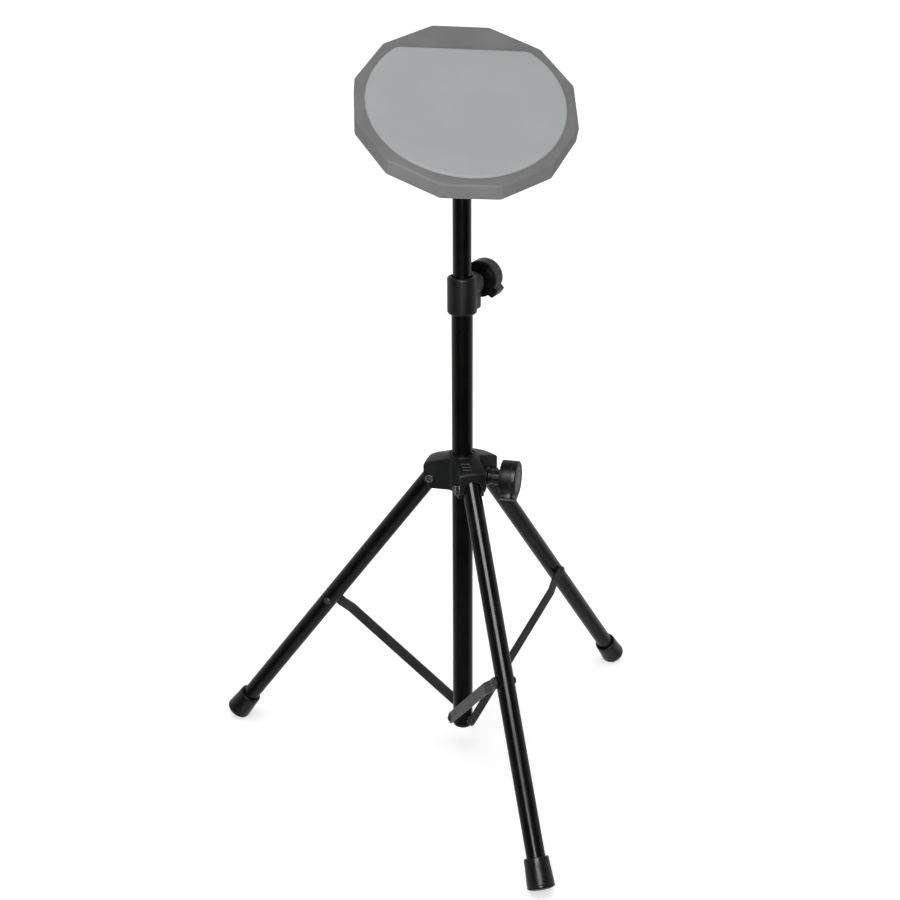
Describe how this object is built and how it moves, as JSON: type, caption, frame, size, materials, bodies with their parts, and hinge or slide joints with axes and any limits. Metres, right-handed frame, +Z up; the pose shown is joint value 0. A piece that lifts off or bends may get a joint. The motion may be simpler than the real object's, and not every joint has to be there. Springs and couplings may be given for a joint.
{
  "type": "practice pad",
  "caption": "Drum practice pad with a pale rubber face on a tilting head, height-adjustable mast and folding tripod stand.",
  "frame": {"origin": "bottom centre of the whole stand box, at floor level; the mast axis stands at x 0.0374 m, y 0.0328 m", "axes": "+Z up along the mast; the pad leans towards -Y at rest; +X to the right of someone facing +Y"},
  "size_m": [0.4826, 0.4868, 0.7941],
  "materials": {
    "tube_paint": "satin black powder coat",
    "stay_paint": "satin black coated flat steel",
    "moulding": "fine-textured black moulding",
    "knob_plastic": "black moulded knob",
    "nylon": "natural nylon",
    "foot_rubber": "black rubber",
    "bright_steel": "zinc plated",
    "brass_insert": "turned brass",
    "cast_head": "black coated die casting",
    "pad_board": "mid grey moulded board",
    "pad_rubber": "pale grey playing rubber",
    "grip_rubber": "dark non-slip sheet"
  },
  "bodies": {
    "mast": {"lower_tube": "tube_paint", "bottom_plug": "moulding", "stay_rivets": "stay_paint", "stay_washers": "bright_steel", "collar": "moulding", "collar_nut": "brass_insert", "collar_shoe": "nylon"},
    "hub": {"hub": "moulding", "hub_nut": "brass_insert", "hub_shoe": "nylon", "leg_pivot_bolts": "bright_steel", "leg_pivot_nuts": "bright_steel"},
    "collar_clamp": {"collar_screw": "bright_steel", "collar_knob": "knob_plastic", "collar_knob_cap": "knob_plastic"},
    "hub_clamp": {"hub_screw": "bright_steel", "hub_knob": "knob_plastic", "hub_knob_cap": "knob_plastic"},
    "leg_a": {"leg_tube_a": "tube_paint", "foot_a": "foot_rubber", "leg_plug_a": "nylon", "leg_rivet_a": "stay_paint"},
    "stay_a": {"stay_bar_a": "stay_paint", "stay_rivet_head_a": "stay_paint"},
    "leg_b": {"leg_tube_b": "tube_paint", "foot_b": "foot_rubber", "leg_plug_b": "nylon", "leg_rivet_b": "stay_paint"},
    "stay_b": {"stay_bar_b": "stay_paint", "stay_rivet_head_b": "stay_paint"},
    "leg_c": {"leg_tube_c": "tube_paint", "foot_c": "foot_rubber", "leg_plug_c": "nylon", "leg_rivet_c": "stay_paint"},
    "stay_c": {"stay_bar_c": "stay_paint", "stay_rivet_head_c": "stay_paint"},
    "glide": {"glide_bush": "nylon"},
    "upper_mast": {"upper_tube": "tube_paint", "tilter_yoke": "cast_head", "tilter_bolt": "bright_steel"},
    "tilter": {"tilter_head": "cast_head", "pad_stud": "bright_steel", "lock_nut": "bright_steel", "stud_washer": "bright_steel"},
    "pad": {"pad_base": "pad_board", "pad_surface": "pad_rubber", "pad_insert": "brass_insert", "pad_grip_sheet": "grip_rubber"},
    "wing_nut": {"tilter_wing_nut": "cast_head"}
  },
  "joints": [
    {"name": "hub_slide", "type": "slide", "parent": "mast", "child": "hub", "axis": [0, 0, 1], "range_m": [0, 0.1089]},
    {"name": "leg_a_fold", "type": "hinge", "parent": "hub", "child": "leg_a", "pos_m": [0.00538, 0.04081, 0.3341], "axis": [-0.2419, -0.9703, 0], "range_deg": [0, 36.68]},
    {"name": "stay_a_fold", "type": "hinge", "parent": "mast", "child": "stay_a", "pos_m": [0.0374, 0.03282, 0.0371], "axis": [0.2419, 0.9703, 0], "range_deg": [0, 40.07]},
    {"name": "leg_b_fold", "type": "hinge", "parent": "hub", "child": "leg_b", "pos_m": [0.0465, 0.0011, 0.3341], "axis": [0.9613, 0.2756, 0], "range_deg": [0, 36.68]},
    {"name": "stay_b_fold", "type": "hinge", "parent": "mast", "child": "stay_b", "pos_m": [0.0374, 0.03282, 0.0371], "axis": [-0.9613, -0.2756, 0], "range_deg": [0, 40.07]},
    {"name": "leg_c_fold", "type": "hinge", "parent": "hub", "child": "leg_c", "pos_m": [0.06032, 0.05656, 0.3341], "axis": [-0.7193, 0.6947, 0], "range_deg": [0, 36.68]},
    {"name": "stay_c_fold", "type": "hinge", "parent": "mast", "child": "stay_c", "pos_m": [0.0374, 0.03282, 0.0371], "axis": [0.7193, -0.6947, 0], "range_deg": [0, 40.07]},
    {"name": "height_slide", "type": "slide", "parent": "mast", "child": "glide", "axis": [0, 0, 1], "range_m": [-0.08, 0.2]},
    {"name": "mast_swivel", "type": "hinge", "parent": "glide", "child": "upper_mast", "pos_m": [0.0374, 0.03282, 0.6], "axis": [0, 0, 1], "continuous": true},
    {"name": "pad_tilt", "type": "hinge", "parent": "upper_mast", "child": "tilter", "pos_m": [0.0374, 0.03282, 0.6936], "axis": [0.986, 0.1668, 0], "range_deg": [-36.4, 23.6]},
    {"name": "pad_turn", "type": "hinge", "parent": "tilter", "child": "pad", "pos_m": [0.04037, 0.01527, 0.71775], "axis": [0.099, -0.5851, 0.8049], "continuous": true},
    {"name": "collar_clamp_turn", "type": "hinge", "parent": "mast", "child": "collar_clamp", "pos_m": [0.05418, 0.06913, 0.5404], "axis": [0.4195, 0.9078, 0], "range_deg": [-30, 330]},
    {"name": "hub_clamp_turn", "type": "hinge", "parent": "hub", "child": "hub_clamp", "pos_m": [0.07613, 0.02281, 0.337], "axis": [0.9681, -0.2504, 0], "range_deg": [-30, 330]},
    {"name": "wing_nut_turn", "type": "hinge", "parent": "upper_mast", "child": "wing_nut", "pos_m": [0.04923, 0.03482, 0.6936], "axis": [0.986, 0.1668, 0], "range_deg": [-30, 330]}
  ],
  "couplings": [
    {"joint": "leg_a_fold", "follows": "hub_slide", "rad_per_m": 5.8746},
    {"joint": "stay_a_fold", "follows": "hub_slide", "rad_per_m": 6.417},
    {"joint": "leg_b_fold", "follows": "hub_slide", "rad_per_m": 5.8746},
    {"joint": "stay_b_fold", "follows": "hub_slide", "rad_per_m": 6.417},
    {"joint": "leg_c_fold", "follows": "hub_slide", "rad_per_m": 5.8746},
    {"joint": "stay_c_fold", "follows": "hub_slide", "rad_per_m": 6.417}
  ]
}
